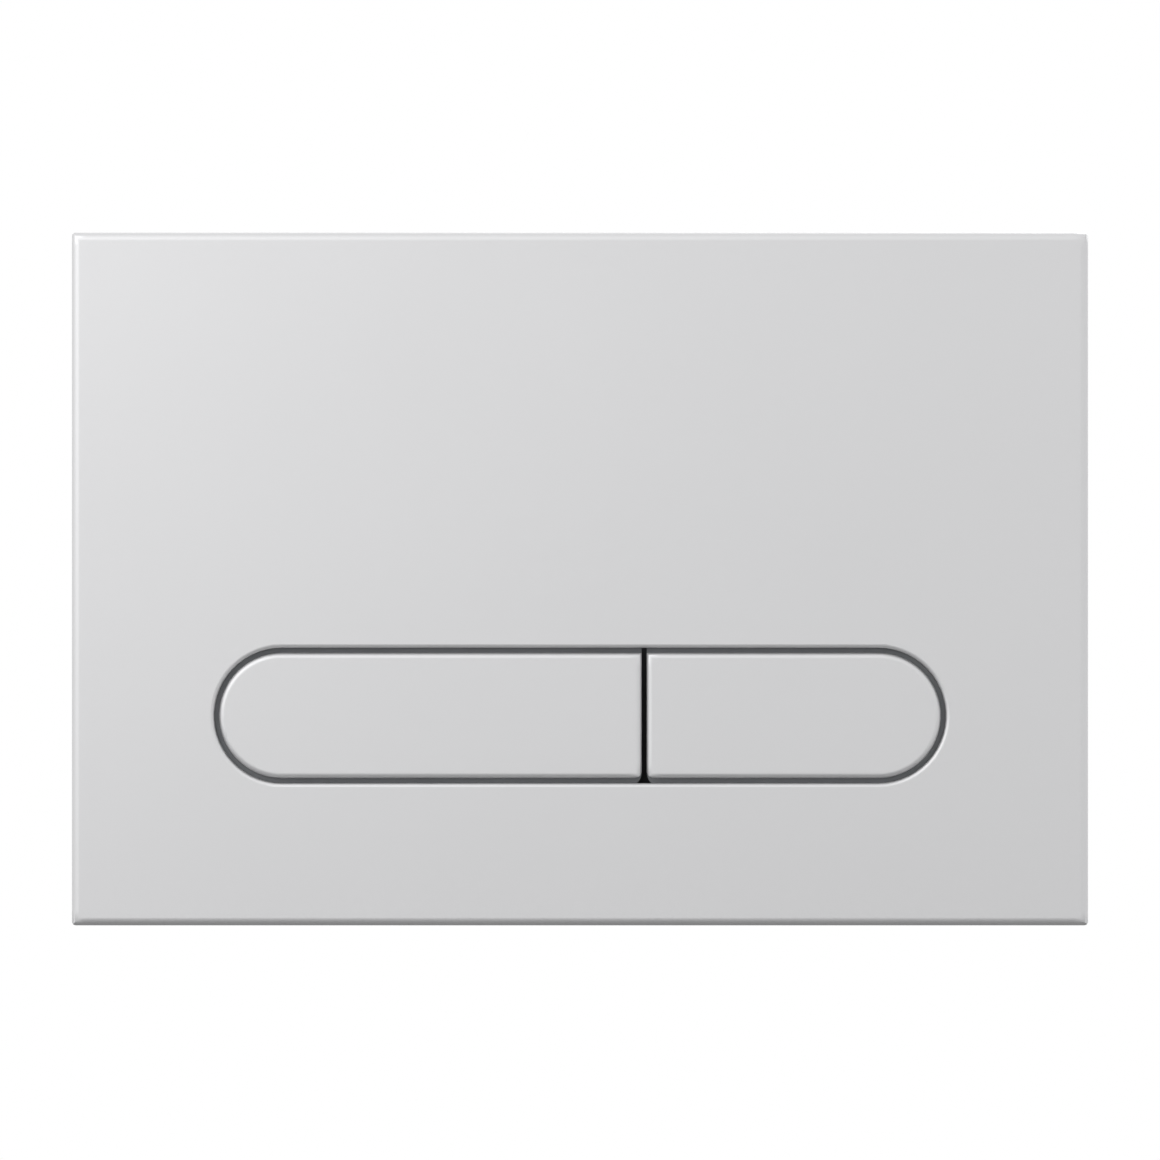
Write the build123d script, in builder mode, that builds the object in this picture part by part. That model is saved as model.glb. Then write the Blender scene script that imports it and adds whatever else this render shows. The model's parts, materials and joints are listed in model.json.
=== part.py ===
from build123d import *
import os
from math import cos, radians, sin, tan

# Dual-flush button plate for a concealed cistern: a cover with two tilting buttons, the frame that
# holds it to the wall, and the sprung push rods that carry each press to the cistern.
# Millimetres. X runs to the viewer's right, Y into the wall and Z up.
# The origin is the middle of the plate on the face of the wall, so the room side is at negative Y.

# Cover plate
opening_length = 158.4
opening_height = 29.3
opening_margin = 30.8  # plate's edge to the opening, left, right and below
upper_field = 89.9  # opening to the plate's upper edge
plate_depth = 11.0  # wall to the front face
face_wall = 2.5
side_wall = 2.2
rim_clearance = 0.3  # the rim stands this far off the wall
front_edge_radius = 1.8
outline_corner_radius = 1.0
opening_edge_radius = 0.9
rib_thickness = 1.2
rib_height = 2.0
rib_pitch = 36.0
rib_count = 5
sill_gap = 1.0  # lip of a button to the rib round the opening's lower half
sill_clearance = 0.6  # that rib to the guide sleeves behind it
weld = 0.5  # how far a rib or boss runs into the wall that carries it

# Buttons
button_gap = 1.1  # round each button and between the two
split_offset = 13.9  # middle of the plate to the gap between the buttons
button_wall = 2.5
button_depth = 5.5
button_skirt = 1.8
button_edge_radius = 1.2
upper_corner_radius = 0.6  # of a button's outline, beside the gap between the two
lower_corner_radius = 1.6
button_rib_drop = 0.8  # ribs end this far short of the skirt
pad_radius = 4.5  # boss that meets the plunger
press_angle = 8.0  # degrees, to the rubber stops

# Button hinges
hinge_pin_radius = 1.5
hinge_running_clearance = 0.08
hinge_boss_wall = 1.5
hinge_rise = 4.2  # opening's upper edge to the hinge axis
hinge_back_clearance = 0.3  # behind the cover's face
bracket_width = 2.5
bracket_fit = 0.02
ear_width = 4.0
ear_root = 6.0  # how far an ear runs down the back of its button
ear_inset = 6.0  # outer ears, from the ends of the opening's straight edge
ear_side_clearance = 0.3

# Lip round each button that stops it against the back of the cover
lip_overlap = 0.8
lip_thickness = 1.5
lip_clearance = 0.2

# Mounting frame
frame_room = 8.7  # opening's edge to the inside of the collar
flange_inset = 6.8  # cover's inside to the flange
flange_thickness = 3.0
flange_corner_radius = 6.0
flange_lip_height = 2.0
flange_lip_thickness = 1.6
collar_wall = 2.0
collar_corner_radius = 4.0
crossbar_thickness = 3.0
crossbar_border = 2.0  # beyond the opening's upper edge and the bumpers
rail_thickness = 1.6
rail_depth = 5.0

# Snap hooks that hold the cover on the frame
snap_spacing = 100.0
snap_width = 10.0
snap_thickness = 1.6
snap_root = 1.5  # extra thickness where a hook leaves the cover
snap_clearance = 0.3
barb_height = 1.4
barb_land = 0.8
barb_length = 3.6
window_front = 1.0  # wall to the edge that a barb catches
window_length = 4.6

# Push rods
rod_spacing = 80.0
rod_rise = 9.3  # opening's lower edge to the rods
rod_radius = 3.0
rod_length = 58.0
thread_fit = 0.05
plunger_clearance = 0.15  # pad to plunger at rest
head_radius = 6.0
head_rim = 1.8
crown_radius = 2.5  # flat middle of the head
crown_relief = 4.0  # degrees that the head falls away beyond the pressed button's tilt
stem_radius = 4.0
stem_reach = 6.0  # past the end of the sleeve
stem_bore_depth = 14.0
lock_nut_flats = 10.0
lock_nut_thickness = 5.0
tip_radius = 4.5
tip_length = 9.0
tip_bore_depth = 6.0

# Guide sleeves and springs
sleeve_clearance = 0.6  # pressed button to sleeve
sleeve_radius = 9.0
sleeve_fit = 0.1
sleeve_flange_radius = 11.0
sleeve_flange_thickness = 1.5
pocket_radius = 7.3
guide_length = 6.0  # of the bore behind the pocket
bore_clearance = 0.1
spring_length = 14.0
spring_turns = 3.0
spring_wire = 1.1  # square
spring_stem_clearance = 0.5

# Rubber stops
bumper_radius = 2.5
bumper_taper = 20.0  # degrees
bumper_clearance = 0.15
bumper_inset = 5.0

# Fixing studs, washers and nuts
stud_radius = 3.0
stud_shank_radius = 2.65  # plain shank between the two threads
stud_front_thread = 28.0
stud_shank_length = 28.0
stud_rear_thread = 26.0  # screws into the cistern's housing
stud_proud = 1.0  # past the nut
nut_radius = 9.0
nut_thickness = 6.0
nut_side_clearance = 1.0
nut_face_clearance = 0.5
grip_count = 6
grip_radius = 2.6
washer_radius = 8.0
washer_thickness = 1.2
washer_fit = 0.2
tab_thickness = 3.0
tab_half_height = 10.0
tab_reach = 11.0  # past the stud towards the middle
slot_length = 13.0
slot_width = 6.6

# Outline of the plate
plate_width = opening_length + 2 * opening_margin
plate_height = opening_height + opening_margin + upper_field
opening_bottom = opening_margin - plate_height / 2
opening_top = opening_bottom + opening_height
opening_z = (opening_bottom + opening_top) / 2
arc_centre_x = (opening_length - opening_height) / 2  # of the opening's round ends

# Depths of the cover and the buttons
front_y = -plate_depth
face_back = front_y + face_wall
rim_y = -rim_clearance
button_face_back = front_y + button_wall
button_back = front_y + button_depth
button_top = opening_top - button_gap
button_bottom = opening_bottom + button_gap
half_gap = button_gap / 2

# Hinge axis, and where a press takes a point of a button
hinge_boss_radius = hinge_pin_radius + hinge_running_clearance + hinge_boss_wall
hinge_y = face_back + hinge_back_clearance + hinge_boss_radius
hinge_z = opening_top + hinge_rise
press = radians(press_angle)


def pressed_depth(y, z):
    """Depth of a button's point once its button is pressed as far as it goes."""
    return hinge_y + (y - hinge_y) * cos(press) - (z - hinge_z) * sin(press)


# Push rod layout and travel: the tilted pad bears on the lower edge of the plunger's flat crown
rod_z = opening_bottom + rod_rise
rod_x = rod_spacing / 2
crown_height = (head_radius - crown_radius) * tan(press + radians(crown_relief))
crown_lever = hinge_z - rod_z + crown_radius
pad_offset = button_back - hinge_y
rod_travel = pad_offset * (1 / cos(press) - 1) + crown_lever * tan(press)

# Depths of the mechanism behind the buttons
skirt_middle_z = button_bottom + button_skirt / 2
deepest_skirt = pressed_depth(button_back, button_bottom)
sleeve_front = deepest_skirt + sleeve_clearance
crossbar_front = sleeve_front + sleeve_flange_thickness
crossbar_back = crossbar_front + crossbar_thickness
collar_rear = crossbar_back + rail_depth
bumper_front = deepest_skirt + bumper_clearance
plunger_front = button_back + plunger_clearance
head_back = plunger_front + crown_height + head_rim
pocket_bottom = head_back + spring_length
sleeve_rear = pocket_bottom + guide_length
stem_end = sleeve_rear + stem_reach
rod_front = stem_end - stem_bore_depth
rod_rear = rod_front + rod_length
tip_rear = rod_rear + tip_length - tip_bore_depth
stem_bore_radius = rod_radius + thread_fit

# Outline of the mounting frame and its crossbar
flange_width = plate_width - 2 * (side_wall + flange_inset)
flange_height = plate_height - 2 * (side_wall + flange_inset)
collar_width = opening_length + 2 * frame_room
collar_height = plate_height - 2 * (opening_margin - frame_room)
collar_middle_z = (collar_height + collar_wall) / 2
crossbar_bottom = skirt_middle_z - bumper_radius - crossbar_border
crossbar_top = opening_top + crossbar_border
crossbar_z = (crossbar_bottom + crossbar_top) / 2
crossbar_height = crossbar_top - crossbar_bottom

# Fixing studs
stud_x = collar_width / 2 - nut_side_clearance - nut_radius
nut_front = face_back + rib_height + nut_face_clearance + stud_proud
washer_front = nut_front + nut_thickness
tab_front = washer_front + washer_thickness
tab_back = tab_front + tab_thickness
stud_front = nut_front - stud_proud
shank_front = stud_front + stud_front_thread
shank_rear = shank_front + stud_shank_length
stud_rear = shank_rear + stud_rear_thread

# Hinge layout: three brackets on one pin, with an ear close beside each face that carries one
ear_step = (ear_width + bracket_width) / 2 + ear_side_clearance
outer_ear_x = arc_centre_x - ear_inset
outer_bracket_x = outer_ear_x + ear_step
bracket_positions = (-outer_bracket_x, split_offset, outer_bracket_x)

# The two buttons: which side of the split, the rod, the hinge ears and the ends of the straight edge
buttons = {
    "full_flush": {
        "side": -1,
        "rod_x": -rod_x,
        "ears": (-outer_ear_x, split_offset - ear_step),
        "ends": (-arc_centre_x, split_offset - half_gap),
    },
    "half_flush": {
        "side": 1,
        "rod_x": rod_x,
        "ears": (split_offset + ear_step, outer_ear_x),
        "ends": (split_offset + half_gap, arc_centre_x),
    },
}


def between_ends(ends, inset):
    """Two X positions, each that far inside an end of a button's straight edge."""
    return (ends[0] + inset, ends[1] - inset)


def wall_plane(y):
    """Plane parallel to the wall at depth y, as seen from the room. A sketch grows towards the room."""
    return Plane.XZ.offset(-y)


def side_plane(x):
    """Upright plane across the plate at x. Its own x runs into the wall and its own y up."""
    return Plane.YZ.offset(x)


def turning_plane(x, z):
    """Side plane whose origin is on an axis into the wall, for profiles of depth and radius."""
    return Plane(origin=(x, 0, z), x_dir=(0, 1, 0), z_dir=(1, 0, 0))


def turning_axis(x, z):
    """Axis into the wall that a turned piece is revolved about."""
    return Axis((x, 0, z), (0, 1, 0))


def button_outline(side, inset, mode=Mode.ADD):
    """Round-ended outline of one button, that far inside its edge, or outside it except at the split."""
    cut_edge = Align.MAX if side < 0 else Align.MIN
    trim = 2 * (button_gap + inset)
    with Locations((0, opening_z)):
        SlotOverall(opening_length - trim, opening_height - trim, mode=mode)
    with Locations((split_offset + side * (half_gap + max(inset, 0)), opening_z)):
        Rectangle(plate_width, plate_height, align=(cut_edge, Align.CENTER), mode=Mode.INTERSECT)


# Cover plate: a shallow moulded tray, open to the wall
rib_low = hinge_z + hinge_boss_radius + button_gap
rib_high = plate_height / 2 - side_wall + weld
rib_middle = (rib_low + rib_high) / 2
sill_inside = lip_overlap + sill_gap
sill_outside = sill_inside + rib_thickness
sill_rear = sleeve_front - sill_clearance

with BuildPart() as front_plate:
    with BuildSketch(wall_plane(rim_y)):
        Rectangle(plate_width, plate_height)
    extrude(amount=rim_y - front_y)
    fillet(front_plate.faces().sort_by(Axis.Y)[0].edges(), radius=front_edge_radius)
    with BuildSketch(wall_plane(rim_y)):
        RectangleRounded(plate_width, plate_height, outline_corner_radius)
    extrude(amount=rim_y - front_y, mode=Mode.INTERSECT)
    with BuildSketch(wall_plane(rim_y)):
        RectangleRounded(plate_width - 2 * side_wall, plate_height - 2 * side_wall, outline_corner_radius)
    extrude(amount=rim_y - face_back, mode=Mode.SUBTRACT)
    with BuildSketch(wall_plane(face_back)):
        with Locations((0, opening_z)):
            SlotOverall(opening_length, opening_height)
    extrude(amount=face_wall, mode=Mode.SUBTRACT)
    fillet(front_plate.faces().sort_by(Axis.Y)[0].inner_wires().edges(), radius=opening_edge_radius)
    # Stiffening ribs across the upper field
    with BuildSketch(wall_plane(face_back + rib_height)):
        with Locations((0, rib_middle)):
            with GridLocations(rib_pitch, 0, rib_count, 1):
                Rectangle(rib_thickness, rib_high - rib_low)
            Rectangle(plate_width - 2 * (side_wall - weld), rib_thickness)
    extrude(amount=rib_height + weld)
    # Rib round the opening's lower half, so that nobody sees past the crossbar when a button is pressed
    with BuildSketch(wall_plane(sill_rear)):
        with Locations((0, opening_z)):
            SlotOverall(opening_length + 2 * sill_outside, opening_height + 2 * sill_outside)
            SlotOverall(
                opening_length + 2 * sill_inside,
                opening_height + 2 * sill_inside,
                mode=Mode.SUBTRACT,
            )
            Rectangle(plate_width, plate_height, align=(Align.CENTER, Align.MAX), mode=Mode.INTERSECT)
    extrude(amount=sill_rear - face_back + weld)
    # Hinge brackets above the opening
    with BuildSketch(*[side_plane(x) for x in bracket_positions]):
        with Locations((hinge_y, hinge_z)):
            Circle(hinge_boss_radius)
            Rectangle(
                hinge_y - face_back + weld,
                2 * hinge_boss_radius,
                align=(Align.MAX, Align.CENTER),
            )
            Circle(hinge_pin_radius + bracket_fit, mode=Mode.SUBTRACT)
    extrude(amount=bracket_width / 2, both=True)
    # Snap hooks above and below the mechanism
    hook_outside = collar_height / 2 - snap_clearance
    hook_inside = hook_outside - snap_thickness
    catch_y = window_front + snap_clearance
    hook_planes = [side_plane(x) for x in (-snap_spacing / 2, snap_spacing / 2)]
    for up in (1, -1):
        with BuildSketch(*hook_planes):
            with BuildLine():
                Polyline(
                    (face_back - weld, up * (hook_inside - snap_root)),
                    (face_back - weld, up * hook_outside),
                    (catch_y, up * hook_outside),
                    (catch_y, up * (hook_outside + barb_height)),
                    (catch_y + barb_land, up * (hook_outside + barb_height)),
                    (catch_y + barb_length, up * hook_outside),
                    (catch_y + barb_length, up * hook_inside),
                    close=True,
                )
            make_face()
        extrude(amount=snap_width / 2, both=True)
front_plate.part.label = "front_plate"


# Mounting frame: flange on the wall, collar in the service opening, crossbar behind the buttons
tab_length = collar_width / 2 + weld - stud_x + tab_reach

with BuildPart() as mounting_frame:
    with BuildSketch(wall_plane(0)):
        RectangleRounded(flange_width, flange_height, flange_corner_radius)
        Rectangle(collar_width, collar_height, mode=Mode.SUBTRACT)
    extrude(amount=flange_thickness)
    with BuildSketch(wall_plane(weld - flange_thickness)):
        RectangleRounded(flange_width, flange_height, flange_corner_radius)
        RectangleRounded(
            flange_width - 2 * flange_lip_thickness,
            flange_height - 2 * flange_lip_thickness,
            flange_corner_radius - flange_lip_thickness,
            mode=Mode.SUBTRACT,
        )
    extrude(amount=flange_lip_height + weld)
    with BuildSketch(wall_plane(collar_rear)):
        RectangleRounded(
            collar_width + 2 * collar_wall,
            collar_height + 2 * collar_wall,
            collar_corner_radius,
        )
        RectangleRounded(
            collar_width,
            collar_height,
            collar_corner_radius - collar_wall,
            mode=Mode.SUBTRACT,
        )
    extrude(amount=collar_rear + flange_thickness)
    # Crossbar with a stiffening rail along each edge and ribs beside the sleeves
    with BuildSketch(wall_plane(crossbar_back)):
        with Locations((0, crossbar_z)):
            Rectangle(collar_width + 2 * weld, crossbar_height)
    extrude(amount=crossbar_thickness)
    with BuildSketch(wall_plane(collar_rear)):
        with Locations((0, crossbar_z)):
            with GridLocations(0, crossbar_height - rail_thickness, 1, 2):
                Rectangle(collar_width + 2 * weld, rail_thickness)
            with Locations((-rod_x, 0), (rod_x, 0)):
                with GridLocations(2 * sleeve_flange_radius, 0, 2, 1):
                    Rectangle(rail_thickness, crossbar_height - rail_thickness)
    extrude(amount=rail_depth + weld)
    with BuildSketch(wall_plane(crossbar_back)):
        with Locations((-rod_x, rod_z), (rod_x, rod_z)):
            Circle(sleeve_radius + sleeve_fit)
    extrude(amount=crossbar_thickness, mode=Mode.SUBTRACT)
    # Slotted tabs for the fixing studs, each with a rail above and below
    for side, inner_edge in ((-1, Align.MIN), (1, Align.MAX)):
        with BuildSketch(wall_plane(tab_back)):
            with Locations((side * (collar_width / 2 + weld), 0)):
                Rectangle(tab_length, 2 * tab_half_height, align=(inner_edge, Align.CENTER))
            with Locations((side * stud_x, 0)):
                SlotOverall(slot_length, slot_width, mode=Mode.SUBTRACT)
        extrude(amount=tab_thickness)
        with BuildSketch(wall_plane(collar_rear)):
            with Locations((side * (collar_width / 2 + weld), 0)):
                with GridLocations(0, 2 * tab_half_height - rail_thickness, 1, 2):
                    Rectangle(tab_length, rail_thickness, align=(inner_edge, Align.CENTER))
        extrude(amount=collar_rear - tab_back + weld)
    # Windows that the cover's hooks catch in
    with Locations((0, window_front + window_length / 2, 0)):
        with GridLocations(snap_spacing, 0, 2, 1):
            with Locations((0, 0, -collar_middle_z), (0, 0, collar_middle_z)):
                Box(
                    snap_width + 2 * snap_clearance,
                    window_length,
                    collar_wall + 2 * snap_clearance,
                    mode=Mode.SUBTRACT,
                )
mounting_frame.part.label = "mounting_frame"


def make_button(name, side, rod_x, ears, ends):
    """One button: a skirted cap with hinge ears above, a stop lip round it and a pad for its plunger."""
    pocket_depth = button_back - button_face_back
    with BuildPart() as button:
        with BuildSketch(wall_plane(button_back)):
            button_outline(side, 0)
        extrude(amount=button_depth)
        fillet(button.faces().sort_by(Axis.Y)[0].edges(), radius=button_edge_radius)
        with BuildSketch(wall_plane(button_back)) as outline:
            button_outline(side, 0)
            lower, upper = outline.vertices().group_by(Axis.X)[-1 if side < 0 else 0].sort_by(Axis.Y)
            fillet(lower, lower_corner_radius)
            fillet(upper, upper_corner_radius)
        extrude(amount=button_depth, mode=Mode.INTERSECT)
        with BuildSketch(wall_plane(button_back)):
            button_outline(side, button_skirt)
        extrude(amount=pocket_depth, mode=Mode.SUBTRACT)
        # Ribs behind the face that cross at the plunger's pad
        with BuildSketch(wall_plane(button_back - button_rib_drop)):
            with Locations((rod_x, rod_z)):
                Rectangle(rib_thickness, opening_height)
                Rectangle(opening_length, rib_thickness)
            button_outline(side, button_skirt - weld, mode=Mode.INTERSECT)
        extrude(amount=pocket_depth - button_rib_drop + weld)
        with BuildSketch(wall_plane(button_back)):
            with Locations((rod_x, rod_z)):
                Circle(pad_radius)
        extrude(amount=pocket_depth + weld)
        # Hinge ears
        with BuildSketch(*[side_plane(x) for x in ears]):
            with BuildLine():
                Polyline(
                    (hinge_y - hinge_boss_radius, hinge_z),
                    (hinge_y - hinge_boss_radius, button_top - button_skirt / 2),
                    (button_face_back - weld, button_top - button_skirt / 2),
                    (button_face_back - weld, button_top - ear_root),
                    (button_back, button_top - ear_root),
                    (hinge_y + hinge_boss_radius, hinge_z),
                    close=True,
                )
            make_face()
            with Locations((hinge_y, hinge_z)):
                Circle(hinge_boss_radius)
                Circle(hinge_pin_radius + hinge_running_clearance, mode=Mode.SUBTRACT)
        extrude(amount=ear_width / 2, both=True)
        # Stop lip behind the opening's edge
        with BuildSketch(wall_plane(face_back + lip_clearance + lip_thickness)):
            button_outline(side, -button_gap - lip_overlap)
            with BuildSketch(mode=Mode.SUBTRACT):
                button_outline(side, button_skirt / 2)
        extrude(amount=lip_thickness)
    button.part.label = f"{name}_button"
    return button.part


def make_plunger(name, x):
    """Sliding head that the button presses, on a stem bored for the adjusting rod."""
    with BuildPart() as plunger:
        with BuildSketch(turning_plane(x, rod_z)):
            with BuildLine():
                Polyline(
                    (plunger_front, 0),
                    (plunger_front, crown_radius),
                    (plunger_front + crown_height, head_radius),
                    (head_back, head_radius),
                    (head_back, stem_radius),
                    (stem_end, stem_radius),
                    (stem_end, stem_bore_radius),
                    (rod_front, stem_bore_radius),
                    (rod_front, 0),
                    close=True,
                )
            make_face()
        revolve(axis=turning_axis(x, rod_z))
    plunger.part.label = f"{name}_plunger"
    return plunger.part


def make_guide_sleeve(name, x):
    """Flanged bush through the crossbar that holds the spring and guides the plunger's stem."""
    with BuildPart() as sleeve:
        with BuildSketch(turning_plane(x, rod_z)):
            with BuildLine():
                Polyline(
                    (sleeve_front, pocket_radius),
                    (sleeve_front, sleeve_flange_radius),
                    (crossbar_front, sleeve_flange_radius),
                    (crossbar_front, sleeve_radius),
                    (sleeve_rear, sleeve_radius),
                    (sleeve_rear, stem_radius + bore_clearance),
                    (pocket_bottom, stem_radius + bore_clearance),
                    (pocket_bottom, pocket_radius),
                    close=True,
                )
            make_face()
        revolve(axis=turning_axis(x, rod_z))
    sleeve.part.label = f"{name}_guide_sleeve"
    return sleeve.part


def make_spring(name, x):
    """Return spring between the plunger's head and the bottom of the sleeve's pocket."""
    coil_start = Vector(x, head_back + spring_wire / 2, rod_z)
    coil_height = spring_length - spring_wire
    with BuildPart() as spring:
        with BuildLine() as coil:
            Helix(
                pitch=coil_height / spring_turns,
                height=coil_height,
                radius=stem_radius + spring_stem_clearance + spring_wire / 2,
                center=coil_start,
                direction=(0, 1, 0),
            )
        wire_start = coil.line @ 0
        with BuildSketch(Plane(wire_start, x_dir=wire_start - coil_start, z_dir=coil.line % 0)):
            Rectangle(spring_wire, spring_wire)
        sweep(is_frenet=True)
    spring.part.label = f"{name}_spring"
    return spring.part


def make_adjusting_rod(name, x):
    """Threaded rod, drawn at its outer diameter, that screws into the plunger."""
    with BuildPart() as rod:
        with BuildSketch(wall_plane(rod_rear)):
            with Locations((x, rod_z)):
                Circle(rod_radius)
        extrude(amount=rod_length)
    rod.part.label = f"{name}_adjusting_rod"
    return rod.part


def make_lock_nut(name, x):
    """Hexagon nut that locks the adjusting rod against the plunger."""
    with BuildPart() as nut:
        with BuildSketch(wall_plane(stem_end + lock_nut_thickness)):
            with Locations((x, rod_z)):
                RegularPolygon(lock_nut_flats / 2, 6, major_radius=False)
                Circle(rod_radius + thread_fit, mode=Mode.SUBTRACT)
        extrude(amount=lock_nut_thickness)
    nut.part.label = f"{name}_lock_nut"
    return nut.part


def make_rod_tip(name, x):
    """Cap on the rod's end, flat where it meets the cistern's lever."""
    with BuildPart() as tip:
        with BuildSketch(wall_plane(tip_rear)):
            with Locations((x, rod_z)):
                Circle(tip_radius)
        extrude(amount=tip_length)
        with BuildSketch(wall_plane(rod_rear)):
            with Locations((x, rod_z)):
                Circle(rod_radius + thread_fit)
        extrude(amount=tip_bore_depth, mode=Mode.SUBTRACT)
    tip.part.label = f"{name}_rod_tip"
    return tip.part


# One steel pin through all three brackets
with BuildPart() as hinge_pin:
    with BuildSketch(side_plane(-outer_bracket_x - bracket_width / 2)):
        with Locations((hinge_y, hinge_z)):
            Circle(hinge_pin_radius)
    extrude(amount=2 * outer_bracket_x + bracket_width)
hinge_pin.part.label = "hinge_pin"


# Rubber stops on the crossbar, a pair behind the lower edge of each button
with BuildPart() as bumpers:
    with BuildSketch(wall_plane(crossbar_front)):
        for button in buttons.values():
            with Locations([(x, skirt_middle_z) for x in between_ends(button["ends"], bumper_inset)]):
                Circle(bumper_radius)
    extrude(amount=crossbar_front - bumper_front, taper=bumper_taper)
bumpers.part.label = "bumpers"


# Fixing hardware: double-ended studs with their threads drawn at the outer diameter, flat washers and
# scalloped thumb nuts
with BuildPart() as fixing_studs:
    for start, end, radius in (
        (stud_front, shank_front, stud_radius),
        (shank_front, shank_rear, stud_shank_radius),
        (shank_rear, stud_rear, stud_radius),
    ):
        with BuildSketch(wall_plane(end)):
            with GridLocations(2 * stud_x, 0, 2, 1):
                Circle(radius)
        extrude(amount=end - start)
fixing_studs.part.label = "fixing_studs"

with BuildPart() as fixing_washers:
    with BuildSketch(wall_plane(tab_front)):
        with GridLocations(2 * stud_x, 0, 2, 1):
            Circle(washer_radius)
            Circle(stud_radius + washer_fit, mode=Mode.SUBTRACT)
    extrude(amount=washer_thickness)
fixing_washers.part.label = "fixing_washers"

with BuildPart() as fixing_nuts:
    with BuildSketch(wall_plane(washer_front)):
        with GridLocations(2 * stud_x, 0, 2, 1):
            Circle(nut_radius)
            Circle(stud_radius + thread_fit, mode=Mode.SUBTRACT)
            with PolarLocations(nut_radius, grip_count):
                Circle(grip_radius, mode=Mode.SUBTRACT)
    extrude(amount=nut_thickness)
fixing_nuts.part.label = "fixing_nuts"


# All pieces, the buttons and push rods made once for each flush
pieces = [
    front_plate.part,
    mounting_frame.part,
    hinge_pin.part,
    bumpers.part,
    fixing_studs.part,
    fixing_washers.part,
    fixing_nuts.part,
]
for flush, button in buttons.items():
    pieces.append(make_button(flush, button["side"], button["rod_x"], button["ears"], button["ends"]))
    for make_piece in (
        make_plunger,
        make_guide_sleeve,
        make_spring,
        make_adjusting_rod,
        make_lock_nut,
        make_rod_tip,
    ):
        pieces.append(make_piece(flush, button["rod_x"]))

os.makedirs("parts", exist_ok=True)
for piece in pieces:
    export_step(piece, f"parts/{piece.label}.step")
    print(piece.label, "volume", round(piece.volume), "mm3")
print(f"hinge axis y {hinge_y:.3f} z {hinge_z:.3f}, press {press_angle}, rod travel {rod_travel:.4f}")
print(f"plate {plate_width:.1f} by {plate_height:.1f}")
print(f"collar rear {collar_rear:.2f}, rod end {tip_rear:.2f}")
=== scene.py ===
# %% [markdown]
# # A dual-flush button plate, dressed in Blender
# The solids of the plate come in as a fixed frame: every piece below is in metres, in the same frame,
# with X to the right, Y into the wall and Z up. The origin is the middle of the plate on the face of the
# wall. Each piece rides on the body that carries it, so that a pressed button takes its own dress along.

# %% Load the frame
import json
from math import ceil, degrees, hypot, inf, pi, radians

import bmesh
import bpy
from mathutils import Matrix, Vector


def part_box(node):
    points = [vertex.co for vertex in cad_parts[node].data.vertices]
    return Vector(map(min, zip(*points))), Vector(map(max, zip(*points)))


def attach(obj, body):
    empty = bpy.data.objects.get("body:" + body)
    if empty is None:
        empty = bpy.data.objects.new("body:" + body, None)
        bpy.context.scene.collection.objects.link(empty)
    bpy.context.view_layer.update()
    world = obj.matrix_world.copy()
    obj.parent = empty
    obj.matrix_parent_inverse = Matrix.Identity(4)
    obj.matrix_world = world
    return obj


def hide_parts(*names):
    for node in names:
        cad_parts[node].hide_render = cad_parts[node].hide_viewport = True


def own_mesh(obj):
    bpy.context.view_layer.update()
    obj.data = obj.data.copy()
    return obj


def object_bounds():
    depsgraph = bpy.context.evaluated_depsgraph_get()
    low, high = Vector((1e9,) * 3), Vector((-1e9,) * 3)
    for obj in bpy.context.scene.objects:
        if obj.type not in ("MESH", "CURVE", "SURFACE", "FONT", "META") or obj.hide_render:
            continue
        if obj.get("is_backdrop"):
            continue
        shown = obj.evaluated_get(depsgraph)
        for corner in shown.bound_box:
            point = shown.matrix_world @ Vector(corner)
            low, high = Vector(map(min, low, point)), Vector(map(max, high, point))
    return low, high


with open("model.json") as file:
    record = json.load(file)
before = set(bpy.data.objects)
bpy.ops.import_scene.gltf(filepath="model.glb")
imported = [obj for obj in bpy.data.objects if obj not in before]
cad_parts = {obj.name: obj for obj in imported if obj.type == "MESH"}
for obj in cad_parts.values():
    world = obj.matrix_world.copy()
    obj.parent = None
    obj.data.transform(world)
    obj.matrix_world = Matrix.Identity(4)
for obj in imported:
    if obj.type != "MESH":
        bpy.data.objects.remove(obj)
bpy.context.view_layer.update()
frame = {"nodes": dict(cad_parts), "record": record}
MM = 0.001

# %% [markdown]
# ## Helpers for materials
# Colours are written as sRGB hex values, as a colour picker shows them, but shaders work in linear light.
# One function turns the first into the second, and another makes a colour darker or lighter. A small
# function adds any node: settings become properties of the node, and each input gets a value or a link,
# so that a material reads from top to bottom as its node tree does.


# %% Colour and node helpers
def linear(hex_colour):
    """Linear RGBA of an sRGB hex value."""
    parts = [int(hex_colour[i:i + 2], 16) / 255 for i in (1, 3, 5)]
    return [c / 12.92 if c <= 0.04045 else ((c + 0.055) / 1.055) ** 2.4 for c in parts] + [1.0]


def scaled(colour, factor):
    """A linear colour made darker or lighter, up to white."""
    return [min(1.0, c * factor) for c in colour[:3]] + [1.0]


def add_node(tree, kind, inputs=None, **settings):
    """Adds a node, sets its properties, and fills or links its inputs by name or index."""
    node = tree.nodes.new(kind)
    for name, value in settings.items():
        setattr(node, name, value)
    for name, value in (inputs or {}).items():
        if isinstance(value, bpy.types.NodeSocket):
            tree.links.new(value, node.inputs[name])
        else:
            node.inputs[name].default_value = value
    return node


def new_material(name):
    """An empty node material with its output, and the Object coordinates that every pattern reads."""
    material = bpy.data.materials.new(name)
    material.use_nodes = True
    tree = material.node_tree
    tree.nodes.clear()
    output = add_node(tree, "ShaderNodeOutputMaterial")
    place = add_node(tree, "ShaderNodeTexCoord").outputs["Object"]
    return material, tree, output.inputs["Surface"], place


print("mid grey in linear light:", round(linear("#808080")[0], 3))

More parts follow.
